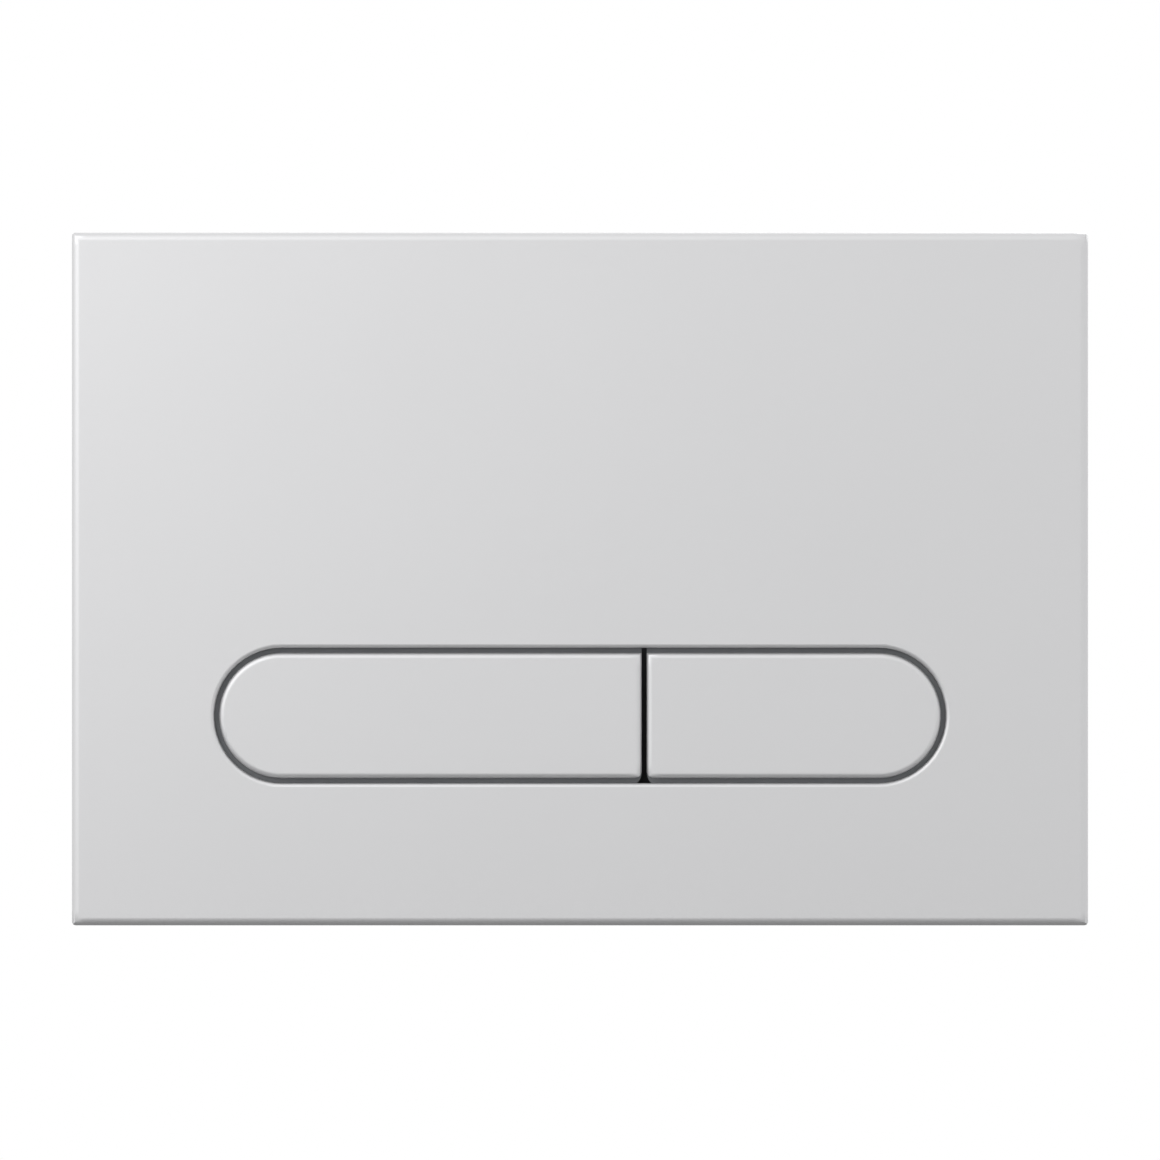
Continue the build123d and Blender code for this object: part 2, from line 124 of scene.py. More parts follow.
# %% [markdown]
# ## Satin chrome on moulded ABS
# The cover and both buttons are moulded in ABS and plated: copper and nickel under a thin chrome that is
# blasted dull before the last bath. To the eye it is a metal, so Metallic is 1 and the IOR stays at its
# default. The blasting spreads every reflection, which is why the plate shows a soft ramp of light in
# place of a mirror image. The real blasted grain is about 0.05 mm, too fine to show here, so it is drawn
# six times as coarse and very shallow. The bath leaves faint clouds in the gloss, a few centimetres wide.

# %% Satin chrome
CHROME_GRAIN_MM, CHROME_RELIEF_MM, BATH_CLOUD_MM = 0.3, 0.02, 40
CHROME_ROUGHNESS, BATH_SPREAD = 0.58, 0.02
BLAST_STRENGTH = 0.12


def satin_chrome(name, hex_colour):
    """Blasted chrome plating: a metal whose gloss and surface vary with a fine grain."""
    material, tree, surface, place = new_material(name)
    grain = add_node(tree, "ShaderNodeTexNoise", {
        "Vector": place, "Scale": 1 / (CHROME_GRAIN_MM * MM), "Detail": 3.0})
    clouds = add_node(tree, "ShaderNodeTexNoise", {
        "Vector": place, "Scale": 1 / (BATH_CLOUD_MM * MM), "Detail": 1.0})
    gloss = add_node(tree, "ShaderNodeMapRange", {
        "Value": clouds.outputs["Fac"],
        "To Min": CHROME_ROUGHNESS - BATH_SPREAD, "To Max": CHROME_ROUGHNESS + BATH_SPREAD})
    relief = add_node(tree, "ShaderNodeBump", {
        "Height": grain.outputs["Fac"], "Strength": BLAST_STRENGTH, "Distance": CHROME_RELIEF_MM * MM})
    metal = add_node(tree, "ShaderNodeBsdfPrincipled", {
        "Base Color": linear(hex_colour), "Metallic": 1.0, "Roughness": gloss.outputs["Result"],
        "Normal": relief.outputs["Normal"]})
    tree.links.new(metal.outputs["BSDF"], surface)
    return material


chrome = satin_chrome("satin_chrome_on_abs", "#D9D9DA")
print("made", chrome.name)

# %% [markdown]
# ## Moulded plastics
# The frame, the sleeves, the plungers, the nuts and the rubber stops are plain mouldings, and so is the
# bare back of the cover. A moulded skin copies the tool: spark-eroded steel leaves a fine even grain, and
# the melt leaves faint clouds where it flowed. The real grain is 0.1 to 0.2 mm, so it is drawn a few
# times coarser to show. One function makes them all, since only colour, gloss and grain differ. Each has
# its own IOR: about 1.49 for polypropylene, 1.48 for acetal, 1.53 for nylon, 1.54 for ABS and 1.52 for
# rubber.

# %% Plastics
FLOW_CLOUD_MM, FLOW_TONE, FLOW_SPREAD = 14, 0.12, 0.06
TOOL_GRAIN_STRENGTH = 0.5


def moulded(name, hex_colour, roughness, ior, grain_mm, relief_mm):
    """A moulded plastic with the grain of its tool and faint flow clouds."""
    material, tree, surface, place = new_material(name)
    colour = linear(hex_colour)
    grain = add_node(tree, "ShaderNodeTexNoise", {
        "Vector": place, "Scale": 1 / (grain_mm * MM), "Detail": 2.0})
    flow = add_node(tree, "ShaderNodeTexNoise", {
        "Vector": place, "Scale": 1 / (FLOW_CLOUD_MM * MM), "Detail": 2.0})
    tone = add_node(tree, "ShaderNodeMix", {
        0: flow.outputs["Fac"], 6: scaled(colour, 1 - FLOW_TONE), 7: scaled(colour, 1 + FLOW_TONE)},
        data_type="RGBA")
    gloss = add_node(tree, "ShaderNodeMapRange", {
        "Value": flow.outputs["Fac"], "To Min": roughness - FLOW_SPREAD, "To Max": roughness + FLOW_SPREAD})
    relief = add_node(tree, "ShaderNodeBump", {
        "Height": grain.outputs["Fac"], "Strength": TOOL_GRAIN_STRENGTH, "Distance": relief_mm * MM})
    skin = add_node(tree, "ShaderNodeBsdfPrincipled", {
        "Base Color": tone.outputs[2], "Roughness": gloss.outputs["Result"], "IOR": ior,
        "Normal": relief.outputs["Normal"]})
    tree.links.new(skin.outputs["BSDF"], surface)
    return material


frame_plastic = moulded(
    "grained_grey_polypropylene", "#4D4E51", roughness=0.55, ior=1.49, grain_mm=0.5, relief_mm=0.06)
sleeve_plastic = moulded(
    "smooth_grey_acetal", "#9A9CA0", roughness=0.38, ior=1.48, grain_mm=0.8, relief_mm=0.02)
rod_plastic = moulded(
    "natural_white_acetal", "#E6E5DF", roughness=0.35, ior=1.48, grain_mm=0.8, relief_mm=0.02)
nut_plastic = moulded(
    "black_nylon", "#3A3B3D", roughness=0.45, ior=1.53, grain_mm=0.4, relief_mm=0.04)
stop_rubber = moulded(
    "black_epdm_rubber", "#222223", roughness=0.75, ior=1.52, grain_mm=0.25, relief_mm=0.04)
bare_abs = moulded(
    "bare_grey_abs", "#808285", roughness=0.5, ior=1.54, grain_mm=0.5, relief_mm=0.04)
print("made", len(bpy.data.materials), "materials so far")

# %% [markdown]
# ## Steels
# The hinge pin is ground stainless, the studs and washers are zinc plated, and the springs are drawn
# wire. All are metals, so they differ by colour, by roughness and by the way their fine marks run.
# Stretching the noise with a Mapping node turns round grain into grinding or drawing lines. Real marks
# are finer than 0.1 mm, so these are drawn as coarse as they need to show.

# %% Steels
MARK_DARK, MARK_LIGHT, MARK_SPREAD = 0.85, 1.12, 0.08
MARK_STRENGTH = 0.4


def steel(name, hex_colour, roughness, mark_mm, relief_mm):
    """A metal with fine marks. mark_mm gives their size along X, Y and Z."""
    material, tree, surface, place = new_material(name)
    colour = linear(hex_colour)
    stretch = add_node(tree, "ShaderNodeMapping", {
        "Vector": place, "Scale": [1 / (size * MM) for size in mark_mm]})
    marks = add_node(tree, "ShaderNodeTexNoise", {
        "Vector": stretch.outputs["Vector"], "Scale": 1.0, "Detail": 3.0})
    tone = add_node(tree, "ShaderNodeMix", {
        0: marks.outputs["Fac"], 6: scaled(colour, MARK_DARK), 7: scaled(colour, MARK_LIGHT)},
        data_type="RGBA")
    gloss = add_node(tree, "ShaderNodeMapRange", {
        "Value": marks.outputs["Fac"], "To Min": roughness - MARK_SPREAD, "To Max": roughness + MARK_SPREAD})
    relief = add_node(tree, "ShaderNodeBump", {
        "Height": marks.outputs["Fac"], "Strength": MARK_STRENGTH, "Distance": relief_mm * MM})
    metal = add_node(tree, "ShaderNodeBsdfPrincipled", {
        "Base Color": tone.outputs[2], "Metallic": 1.0, "Roughness": gloss.outputs["Result"],
        "Normal": relief.outputs["Normal"]})
    tree.links.new(metal.outputs["BSDF"], surface)
    return material


pin_steel = steel(
    "ground_stainless_steel", "#B9BABC", roughness=0.36, mark_mm=(0.6, 2.0, 2.0), relief_mm=0.004)
zinc_steel = steel(
    "zinc_plated_steel", "#BFC3C9", roughness=0.42, mark_mm=(1.2, 1.2, 1.2), relief_mm=0.01)
spring_steel = steel(
    "drawn_spring_steel", "#9C9C9E", roughness=0.32, mark_mm=(0.8, 0.3, 0.8), relief_mm=0.01)
print("made", len(bpy.data.materials), "materials")

# %% [markdown]
# ## Rounded copies of the solids
# The solids have the right forms, but their edges are knife sharp, where a moulding or a turned part has
# a small round that catches the light. A solid could be modelled afresh, or a Bevel modifier could round
# every edge. Here a copy of its mesh is merged, since it comes as loose triangles, its flat faces are
# joined again, and only its outer corners are bevelled. In tight places a bevel leaves flaps that fold
# back on themselves, so these are collapsed.

# %% Helpers for rounded copies
SEAM = 0.002 * MM
SHORTEST = 0.01 * MM
FLAT = radians(0.5)
CORNER = radians(25)
FOLDED = radians(150)


def merged_copy(node):
    """A copy of a node's mesh, with its triangles merged and joined to flat faces."""
    shape = bmesh.new()
    shape.from_mesh(frame["nodes"][node].data)
    bmesh.ops.remove_doubles(shape, verts=shape.verts, dist=SEAM)
    bmesh.ops.dissolve_limit(shape, angle_limit=FLAT, verts=shape.verts, edges=shape.edges)
    return shape


def round_edges(shape, edges, radius_mm, segments=2):
    """Rounds some edges of a mesh, and clears the slivers that this leaves in tight places."""
    bmesh.ops.bevel(
        shape, geom=edges, offset=radius_mm * MM, offset_type="OFFSET", affect="EDGES", segments=segments,
        profile=0.5, material=-1, clamp_overlap=False)
    shape.normal_update()
    folds = [edge for edge in shape.edges if edge.calc_face_angle(0) > FOLDED]
    flaps = [face for edge in folds for face in edge.link_faces if len(face.verts) == 3]
    bmesh.ops.collapse(
        shape, edges=[edge for edge in shape.edges if any(face in flaps for face in edge.link_faces)])
    bmesh.ops.dissolve_degenerate(shape, dist=SHORTEST, edges=shape.edges)


def outer_corners(shape, front=-inf):
    """The edges that stand out, of those that lie behind a depth."""
    return [
        edge for edge in shape.edges
        if edge.calc_face_angle_signed(0) > CORNER and min(vert.co.y for vert in edge.verts) > front - SEAM]


def rounded_copy(node, radius_mm):
    """A merged copy of a node's mesh with rounded outer corners."""
    shape = merged_copy(node)
    round_edges(shape, outer_corners(shape), radius_mm)
    return shape


print("corners rounded above", round(degrees(CORNER)), "degrees")

# %% [markdown]
# ## Pieces that stand for solids
# A dressed mesh takes the place of one node: it rides on the node's body, takes the materials it is given,
# and hides the node. Faces are shaded smoothly, apart from where they meet at a crease, and weighted
# normals keep the broad faces flat to the eye, while the narrow rounds turn the light.

# %% Helper for pieces
OUTER_CREASE, INNER_CREASE = radians(50), radians(20)
body_of = {node: body for body, nodes in frame["record"]["behaviour"]["bodies"].items() for node in nodes}


def make_piece(shape, name, node, *materials):
    """Turns a bmesh into the piece that stands for a node: on its body, with its finish."""
    mesh = bpy.data.meshes.new(name)
    shape.normal_update()
    for face in shape.faces:
        face.smooth = True
    for edge in shape.edges:
        edge.smooth = -INNER_CREASE < edge.calc_face_angle_signed(0) < OUTER_CREASE
    triangles = sum(len(face.verts) - 2 for face in shape.faces)
    gaps = sum(1 for edge in shape.edges if len(edge.link_faces) != 2)
    shape.to_mesh(mesh)
    shape.free()
    for material in materials:
        mesh.materials.append(material)
    piece = bpy.data.objects.new(name, mesh)
    bpy.context.scene.collection.objects.link(piece)
    piece.modifiers.new("even_shading", "WEIGHTED_NORMAL").keep_sharp = True
    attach(piece, body_of[node])
    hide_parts(node)
    print(f"{name}: {triangles} triangles, {gaps} open edges, rides on {body_of[node]}")
    return piece


# %% [markdown]
# ## Even highlights
# A long narrow face, such as the rounded rim of the cover, blends the shading of its two ends all the way
# between them, so a tilted normal at a corner would bend the highlight along the whole rim. Finer faces
# everywhere would cure that at a cost. One cut across the mesh near each corner does as well: it keeps
# the tilt in the corner.

# %% Helper for cuts
CORNER_CUT = 3.0 * MM


def cut_across(shape, axis, place):
    """Cuts the faces of a mesh along a plane across an axis, and keeps both sides."""
    normal = Vector((0, 0, 0))
    normal[axis] = 1
    bmesh.ops.bisect_plane(
        shape, geom=[*shape.verts, *shape.edges, *shape.faces], dist=SEAM, plane_co=normal * place,
        plane_no=normal)
    bmesh.ops.dissolve_degenerate(shape, dist=SHORTEST, edges=shape.edges)


print("cuts lie", round(CORNER_CUT / MM, 1), "mm from a corner")

# %% [markdown]
# ## Cover
# The cover is one moulding: a flat face with a long round-ended opening, a rounded rim, and ribs and
# hinge brackets behind. Its back is masked before the plating baths, so the chrome reaches the face, the
# rim and the walls of the opening, and the inside stays bare grey. That matters to the eye, because bare
# plastic keeps the narrow gap round the buttons dark. The two finishes are two material slots, given out
# by where a face lies and which way it looks: the Y of its normal grows as it turns to the back.

# %% Cover
COVER_EDGE_MM = 0.15
FRONT_ROUND = 1.8 * MM
FACE_THICKNESS = 2.5 * MM
OUTER_WALL = 0.4 * MM
FACING_BACK = 0.5
low_cover, high_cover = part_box("front_plate")
cover = merged_copy("front_plate")
round_edges(cover, outer_corners(cover, low_cover.y + FRONT_ROUND), COVER_EDGE_MM)
for axis in (0, 2):
    cut_across(cover, axis, low_cover[axis] + CORNER_CUT)
    cut_across(cover, axis, high_cover[axis] - CORNER_CUT)
for face in cover.faces:
    middle = face.calc_center_median()
    on_face = middle.y < low_cover.y + FACE_THICKNESS and face.normal.y < FACING_BACK
    on_rim = abs(middle.x) > high_cover.x - OUTER_WALL or abs(middle.z) > high_cover.z - OUTER_WALL
    face.material_index = 0 if on_face or on_rim else 1
make_piece(cover, "plated_cover", "front_plate", chrome, bare_abs)

# %% [markdown]
# ## Outline of the buttons
# Together the two buttons have the outline of a slot that is cut in two. The chrome covers what shows
# when they hang in the cover: the face, its rounded edge and the outside of the skirt. A face belongs to
# the skirt if it stands upright on that outline, so two tests are needed: one for the slot with its
# corners, and one for the cut.

# %% Tests for the outline
SLOT_MIDDLE_Z = -29.55 * MM
SLOT_ARC_X = 64.55 * MM
SLOT_RADIUS = 13.55 * MM
SPLIT_X, HALF_GAP = 13.9 * MM, 0.55 * MM
ON_LINE, CORNER_DEPTH = 0.05 * MM, 0.6 * MM


def beside_split(point):
    """True on either side of the gap between the buttons."""
    return abs(abs(point.x - SPLIT_X) - HALF_GAP) < ON_LINE


def on_skirt(point):
    """True on the outline that both buttons share, beside the gap between them, and in the corners."""
    from_arc = max(0, abs(point.x) - SLOT_ARC_X)
    outside = hypot(from_arc, point.z - SLOT_MIDDLE_Z) - SLOT_RADIUS
    from_split = abs(point.x - SPLIT_X) - HALF_GAP
    return -CORNER_DEPTH < outside < ON_LINE or outside < ON_LINE and from_split < CORNER_DEPTH


print("the gap between the buttons is", round(2 * HALF_GAP / MM, 2), "mm wide")

# %% [markdown]
# ## Buttons
# Each button is a shallow cap that fills its half of the opening but for an even gap. A lip round it lies
# behind the cover, so that a glance into the gap meets dim grey plastic and not the dark, and only the
# gap between the two buttons is deep. There the lip's lower corner is rounded off, and a dark spot shows
# where the gaps meet.

# %% Buttons
FLUSHES = ("full_flush", "half_flush")
BUTTON_EDGE_MM = 0.08
LIP_CORNER_MM, LIP_CORNER_STEPS = 3.0, 6
CAP_ROUND = 1.2 * MM
UPRIGHT = 0.1
for flush in FLUSHES:
    node = f"{flush}_button"
    button = merged_copy(node)
    lip_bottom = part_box(node)[0].z + ON_LINE
    lip_corner = [
        edge for edge in button.edges
        if all(beside_split(vert.co) and vert.co.z < lip_bottom for vert in edge.verts)]
    round_edges(button, lip_corner, LIP_CORNER_MM, segments=LIP_CORNER_STEPS)
    round_edges(button, outer_corners(button, low_cover.y + CAP_ROUND), BUTTON_EDGE_MM)
    for side in (-1, 1):
        cut_across(button, 0, SPLIT_X + side * (HALF_GAP + CORNER_CUT))
        cut_across(button, 2, SLOT_MIDDLE_Z + side * (SLOT_RADIUS - CORNER_CUT))
    for face in button.faces:
        middle = face.calc_center_median()
        on_cap = middle.y < low_cover.y + CAP_ROUND + ON_LINE
        plated = on_cap or abs(face.normal.y) < UPRIGHT and on_skirt(middle)
        face.material_index = 0 if plated else 1
    make_piece(button, f"{flush}_plated_cap", node, chrome, bare_abs)

# %% [markdown]
# ## Frame, hinge pin and rubber stops
# Behind the cover a moulded frame lies on the wall. It carries the crossbar with the push rods, the
# rubber stops that quiet the buttons, and the tabs for the studs. The buttons tilt on one steel pin that
# runs through the cover's brackets. Their solids are right as they are, so each is a copy with rounded
# corners.

# %% Frame and hinge
FRAME_EDGE_MM, PIN_EDGE_MM, STOP_EDGE_MM = 0.3, 0.3, 0.2
make_piece(rounded_copy("mounting_frame", FRAME_EDGE_MM), "moulded_frame", "mounting_frame", frame_plastic)
make_piece(rounded_copy("hinge_pin", PIN_EDGE_MM), "ground_hinge_pin", "hinge_pin", pin_steel)
make_piece(rounded_copy("bumpers", STOP_EDGE_MM), "rubber_stops", "bumpers", stop_rubber)

# %% [markdown]
# ## Push rods
# A button presses the domed head of a plunger, which slides in a sleeve snapped into the crossbar. The
# adjusting rod screws into the plunger, a lock nut holds it there, and a soft-edged tip meets the lever
# in the cistern. The two sets are alike, so one loop makes both, with a size of edge and a plastic for
# each kind.

# %% Sleeves, plungers, lock nuts and tips
ROD_KINDS = (
    ("guide_sleeve", 0.25, sleeve_plastic),
    ("plunger", 0.2, rod_plastic),
    ("lock_nut", 0.4, nut_plastic),
    ("rod_tip", 0.5, sleeve_plastic),
)
for flush in FLUSHES:
    for kind, edge_mm, material in ROD_KINDS:
        node = f"{flush}_{kind}"
        make_piece(rounded_copy(node, edge_mm), f"{flush}_moulded_{kind}", node, material)

# %% [markdown]
# ## Screw threads
# A thread could be a bump pattern, but from the side its outline would stay smooth. It is made as a lathe
# cuts it: one pitch of the profile, a flat root, a flank, a flat crest and a flank, is spun round the
# axis and moves on by one pitch in each turn. Neighbouring turns then meet and are merged, two planes cut
# the ends, and a limit on the radius gives the ends their chamfer. A 6 mm stud has a pitch of 1 mm, too
# fine to show in a picture of the whole plate, so both threads here are drawn coarser. The profile is
# given in shares of the pitch and of the depth.

# %% Thread helpers
THREAD_STEPS, SPARE_TURNS = 24, 2
THREAD_PROFILE = ((0, 0), (4 / 16, 0), (9 / 16, 1), (11 / 16, 1), (1, 0))
TURN_SEAM, CUT_SEAM = 0.02, 0.01


def limit_radius(vert, most):
    """Pulls a vertex in to a radius about the Y axis, if it lies outside it."""
    reach = hypot(vert.co.x, vert.co.z)
    if reach > most:
        vert.co.x *= most / reach
        vert.co.z *= most / reach


def cut_off(shape, depth, outwards, seam):
    """Cuts off what lies beyond a depth, towards the front for -1 and the back for 1."""
    bmesh.ops.bisect_plane(
        shape, geom=[*shape.verts, *shape.edges, *shape.faces], dist=seam, plane_co=(0, depth, 0),
        plane_no=(0, outwards, 0), clear_outer=True)


def cap_holes(shape):
    """Closes every open end of a mesh with a face."""
    bmesh.ops.holes_fill(shape, edges=[edge for edge in shape.edges if edge.is_boundary])


def thread(radius, depth, pitch, start, end):
    """A threaded bar on the Y axis with chamfered, closed ends."""
    shape = bmesh.new()
    root = radius - depth
    turns = ceil((end - start) / pitch) + SPARE_TURNS
    profile = [
        shape.verts.new((root + height * depth, start + (share - 1) * pitch, 0))
        for share, height in THREAD_PROFILE]
    line = [shape.edges.new(pair) for pair in zip(profile, profile[1:])]
    bmesh.ops.spin(
        shape, geom=profile + line, cent=(0, 0, 0), axis=(0, 1, 0), dvec=(0, pitch / THREAD_STEPS, 0),
        angle=2 * pi * turns, steps=THREAD_STEPS * turns)
    bmesh.ops.remove_doubles(shape, verts=shape.verts, dist=TURN_SEAM * pitch)
    cut_off(shape, start, -1, CUT_SEAM * pitch)
    cut_off(shape, end, 1, CUT_SEAM * pitch)
    cap_holes(shape)
    for vert in shape.verts:
        from_end = min(vert.co.y - start, end - vert.co.y)
        limit_radius(vert, root + max(0, from_end))
    bmesh.ops.recalc_face_normals(shape, faces=shape.faces)
    return shape


print("a thread has", THREAD_STEPS, "steps in a turn")

# %% [markdown]
# ## Fixing studs
# Two long studs screw into the cistern's housing and hold the frame to the wall. Their threads are
# rolled, so the plain shank between them is the blank that both threads rose from: it is thinner than
# their crests. One thread is made for the whole length, and its middle is pressed back to the blank's
# radius, over one pitch at each side.

# %% Studs
STUD_PITCH, STUD_DEPTH = 1.75 * MM, 0.6 * MM
SHANK_RADIUS = 2.65 * MM
SHANK_FRONT, SHANK_REAR = 22 * MM, 50 * MM
low_stud, high_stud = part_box("fixing_studs")
stud_radius = high_stud.z
stud_x = high_stud.x - stud_radius
studs = thread(stud_radius, STUD_DEPTH, STUD_PITCH, low_stud.y, high_stud.y)
for vert in studs.verts:
    into_shank = min(vert.co.y - SHANK_FRONT, SHANK_REAR - vert.co.y) + STUD_PITCH
    pressed = min(1, max(0, into_shank / STUD_PITCH))
    reach = hypot(vert.co.x, vert.co.z)
    if pressed and reach > 0:
        factor = 1 + pressed * (SHANK_RADIUS / reach - 1)
        vert.co.x *= factor
        vert.co.z *= factor
bmesh.ops.translate(studs, vec=(-stud_x, 0, 0), verts=studs.verts)
twin = bmesh.ops.duplicate(studs, geom=[*studs.verts, *studs.edges, *studs.faces])["geom"]
twin_verts = [part for part in twin if isinstance(part, bmesh.types.BMVert)]
bmesh.ops.translate(studs, vec=(2 * stud_x, 0, 0), verts=twin_verts)
make_piece(studs, "rolled_studs", "fixing_studs", zinc_steel)

# %% [markdown]
# ## Nuts and washers
# A lobed plastic nut on each stud is turned by hand, and a plated washer spreads its force on the frame's
# tab. Both have their full form in the solids, so only their corners are rounded.

# %% Nuts and washers
NUT_EDGE_MM, WASHER_EDGE_MM = 0.3, 0.2
make_piece(rounded_copy("fixing_nuts", NUT_EDGE_MM), "lobed_nuts", "fixing_nuts", nut_plastic)
make_piece(rounded_copy("fixing_washers", WASHER_EDGE_MM), "plated_washers", "fixing_washers", zinc_steel)

# %% [markdown]
# ## Adjusting rods
# The rods are moulded in white acetal with a coarse thread, so that they can be set to the depth of the
# wall and cut to length. The helper that made the studs' thread makes theirs too, between the ends of
# each rod's solid.

# %% Adjusting rods
ROD_PITCH, ROD_DEPTH = 2.5 * MM, 0.7 * MM
rod_middle = {}
for flush in FLUSHES:
    node = f"{flush}_adjusting_rod"
    low_rod, high_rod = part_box(node)
    rod_middle[flush] = (low_rod + high_rod) / 2
    rod = thread((high_rod.x - low_rod.x) / 2, ROD_DEPTH, ROD_PITCH, low_rod.y, high_rod.y)
    bmesh.ops.translate(rod, vec=(rod_middle[flush].x, 0, rod_middle[flush].z), verts=rod.verts)
    make_piece(rod, f"{flush}_threaded_rod", node, rod_plastic)

# %% [markdown]
# ## Winding a spring
# A round wire is wound round each plunger, with a closed turn at both ends that is ground flat to stand
# square. A curve with a bevel could draw the wire, but its ends couldn't be ground. So a ring the size of
# the wire is spun in three runs, closed, open and closed, its ends are capped, and two planes grind them.

# %% Spring helper
WIRE = 1.1 * MM
WIRE_SIDES = 12
COIL_STEPS = 32
OPEN_TURNS = 3
CLOSED_PITCH = WIRE * 1.03
GROUND = WIRE * 0.3
GRIND_SEAM = 0.001 * MM


def wound_coil(low_coil, high_coil, axis_point):
    """A coil of round wire about an axis along Y, with closed and ground ends, that fills a box."""
    radius = (high_coil.x - low_coil.x - WIRE) / 2
    open_pitch = (high_coil.y - low_coil.y - 2 * GROUND - 2 * CLOSED_PITCH) / OPEN_TURNS
    coil = bmesh.new()
    ring_place = Matrix.Translation((axis_point[0] + radius, low_coil.y + GROUND, axis_point[2]))
    bmesh.ops.create_circle(coil, radius=WIRE / 2, segments=WIRE_SIDES, matrix=ring_place)
    run = [*coil.verts, *coil.edges]
    for turns, pitch in ((1, CLOSED_PITCH), (OPEN_TURNS, open_pitch), (1, CLOSED_PITCH)):
        run = bmesh.ops.spin(
            coil, geom=run, cent=axis_point, axis=(0, 1, 0), dvec=(0, pitch / COIL_STEPS, 0),
            angle=2 * pi * turns, steps=COIL_STEPS * turns)["geom_last"]
    cap_holes(coil)
    for depth, outwards in ((low_coil.y, -1), (high_coil.y, 1)):
        cut_off(coil, depth, outwards, GRIND_SEAM)
        cap_holes(coil)
    bmesh.ops.recalc_face_normals(coil, faces=coil.faces)
    return coil


print("a spring has", OPEN_TURNS + 2, "turns")

# %% [markdown]
# ## Return springs
# A spring can't ride on one body, since one end stands still and the other follows the plunger. Here it
# rides on the body that its node is given, with a mesh of its own.

# %% Springs
for flush in FLUSHES:
    node = f"{flush}_spring"
    low_coil, high_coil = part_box(node)
    axis_point = (rod_middle[flush].x, 0, rod_middle[flush].z)
    coil = wound_coil(low_coil, high_coil, axis_point)
    spring = make_piece(coil, f"{flush}_wound_spring", node, spring_steel)
    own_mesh(spring)

# %% [markdown]
# ## Floor
# The plate hangs on a wall in use, so here it floats above a pale floor, low enough to stay out of the
# picture.

# %% Floor
FLOOR_Z, FLOOR_RADIUS, FLOOR_SIDES = -0.30, 6.0, 96
floor_mesh = bmesh.new()
bmesh.ops.create_circle(floor_mesh, cap_ends=True, radius=FLOOR_RADIUS, segments=FLOOR_SIDES)
bmesh.ops.translate(floor_mesh, vec=(0, 0, FLOOR_Z), verts=floor_mesh.verts)
floor_data = bpy.data.meshes.new("floor")
floor_mesh.to_mesh(floor_data)
floor_mesh.free()
floor = bpy.data.objects.new("floor", floor_data)
bpy.context.scene.collection.objects.link(floor)
floor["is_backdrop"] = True
print("floor at", FLOOR_Z)

# %% [markdown]
# ## Paper for the floor
# Near the plate the floor is matt and takes its shadow. Further out it fades to the white of the
# background, for the camera and for reflections alone, so that no edge shows and no light is added. Light
# that bounces off it meets a darker grey, or the under sides of the plate would glow. From below it is
# clear, so that a low view isn't blocked.

# %% Floor paper
FADE_START, FADE_END = 0.35, 1.1
BOUNCE_GREY, SEEN_GREY = "#9A9A9A", "#F2F2F2"
paper, tree, surface, place = new_material("pale_paper_floor")
path_kind = add_node(tree, "ShaderNodeLightPath")
radius = add_node(tree, "ShaderNodeVectorMath", {0: place}, operation="LENGTH")
far = add_node(tree, "ShaderNodeMapRange", {
    "Value": radius.outputs["Value"], "From Min": FADE_START, "From Max": FADE_END},
    interpolation_type="SMOOTHSTEP")
looks = add_node(tree, "ShaderNodeMath", {
    0: path_kind.outputs["Is Camera Ray"], 1: path_kind.outputs["Is Glossy Ray"]}, operation="MAXIMUM")
seen_far = add_node(tree, "ShaderNodeMath", {
    0: far.outputs["Result"], 1: looks.outputs["Value"]}, operation="MULTIPLY")
tone = add_node(tree, "ShaderNodeMix", {
    0: path_kind.outputs["Is Camera Ray"], 6: linear(BOUNCE_GREY), 7: linear(SEEN_GREY)}, data_type="RGBA")
matt = add_node(tree, "ShaderNodeBsdfDiffuse", {"Color": tone.outputs[2]})
white = add_node(tree, "ShaderNodeEmission", {"Color": linear("#FFFFFF"), "Strength": 1.0})
blend = add_node(tree, "ShaderNodeMixShader", {
    0: seen_far.outputs["Value"], 1: matt.outputs["BSDF"], 2: white.outputs["Emission"]})
from_below = add_node(tree, "ShaderNodeNewGeometry").outputs["Backfacing"]
clear = add_node(tree, "ShaderNodeBsdfTransparent")
one_sided = add_node(tree, "ShaderNodeMixShader", {
    0: from_below, 1: blend.outputs["Shader"], 2: clear.outputs["BSDF"]})
tree.links.new(one_sided.outputs["Shader"], surface)
floor_data.materials.append(paper)
print("floor fades from", FADE_START, "to", FADE_END, "m")

# %% [markdown]
# ## World
# A white world is what the camera and the reflections see, while a dimmer one lights the matt surfaces.
# The Light Path node tells them apart by the kind of ray, so the background stays white with no more
# light on the plate.

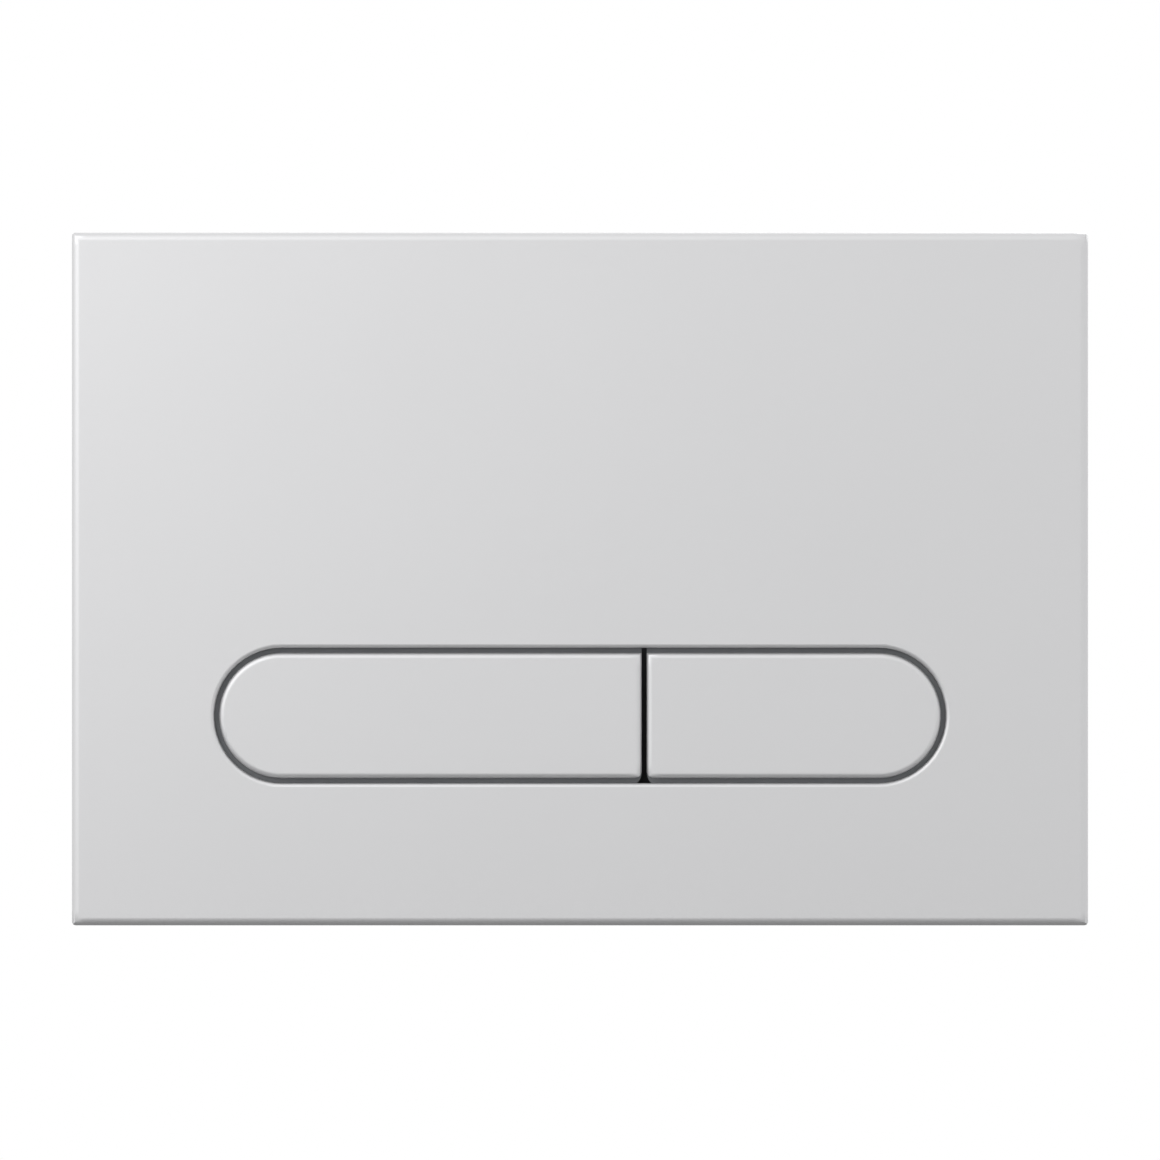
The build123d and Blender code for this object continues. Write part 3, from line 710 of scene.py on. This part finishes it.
# %% World
ROOM_LIGHT = 0.6
world = bpy.data.worlds.new("white_studio")
bpy.context.scene.world = world
world.use_nodes = True
tree = world.node_tree
tree.nodes.clear()
path_kind = add_node(tree, "ShaderNodeLightPath")
seen = add_node(tree, "ShaderNodeMath", {
    0: path_kind.outputs["Is Camera Ray"], 1: path_kind.outputs["Is Glossy Ray"]}, operation="MAXIMUM")
seen = add_node(tree, "ShaderNodeMath", {
    0: seen.outputs["Value"], 1: path_kind.outputs["Is Transmission Ray"]}, operation="MAXIMUM")
room = add_node(tree, "ShaderNodeBackground", {"Color": linear("#FFFFFF"), "Strength": ROOM_LIGHT})
white = add_node(tree, "ShaderNodeBackground", {"Color": linear("#FFFFFF"), "Strength": 1.0})
both = add_node(tree, "ShaderNodeMixShader", {
    0: seen.outputs["Value"], 1: room.outputs["Background"], 2: white.outputs["Background"]})
add_node(tree, "ShaderNodeOutputWorld", {"Surface": both.outputs["Shader"]})
print("world lights matt surfaces at", ROOM_LIGHT)

# %% [markdown]
# ## Lamps
# A softbox up and to the left makes the ramp of light over the plate. It hangs so near that each part of
# the plate meets it at an angle of its own, which a far lamp wouldn't do. A second one lights the back.


# %% Lamps
def softbox(name, place, size, power):
    """A square area lamp at a place, turned to the plate's middle, out of the camera's sight."""
    lamp = bpy.data.lights.new(name, "AREA")
    lamp.size = size
    lamp.energy = power
    holder = bpy.data.objects.new(name, lamp)
    holder.location = place
    holder.visible_camera = False
    holder.rotation_euler = (-Vector(place)).to_track_quat("-Z", "Y").to_euler()
    bpy.context.scene.collection.objects.link(holder)


softbox("key_softbox", place=(-0.36, -0.36, 0.27), size=0.5, power=1.12)
softbox("rear_softbox", place=(0.7, 1.3, 0.9), size=0.9, power=14)

# %% [markdown]
# ## Camera
# The photograph looks square at the plate. A long lens from far off keeps the sides of the cover out of
# sight. The distance follows from the width that the picture covers at the front face.

# %% Camera
PICTURE_WIDTH = 250.9 * MM
CAMERA_Z = -0.22 * MM
LENS, SENSOR = 250.0, 36.0
front_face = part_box("front_plate")[0].y
distance = PICTURE_WIDTH * LENS / SENSOR
camera_data = bpy.data.cameras.new("square_view")
camera_data.lens = LENS
camera_data.sensor_width = SENSOR
camera = bpy.data.objects.new("square_view", camera_data)
camera.location = (0, front_face - distance, CAMERA_Z)
camera.rotation_euler = (radians(90), 0, 0)
bpy.context.scene.collection.objects.link(camera)
bpy.context.scene.camera = camera
bpy.context.scene.view_settings.view_transform = "Standard"
print("camera", round(distance, 3), "m from the front face")

# %% [markdown]
# ## Size
# The size of the dressed part, over all its pieces but the floor, is printed in millimetres. The
# dressed part has to stay in the box of the solids.

# %% Size
dressed_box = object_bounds()
sides = Vector(dressed_box[1]) - Vector(dressed_box[0])
print("dressed size in mm:", [round(side / MM, 1) for side in sides])
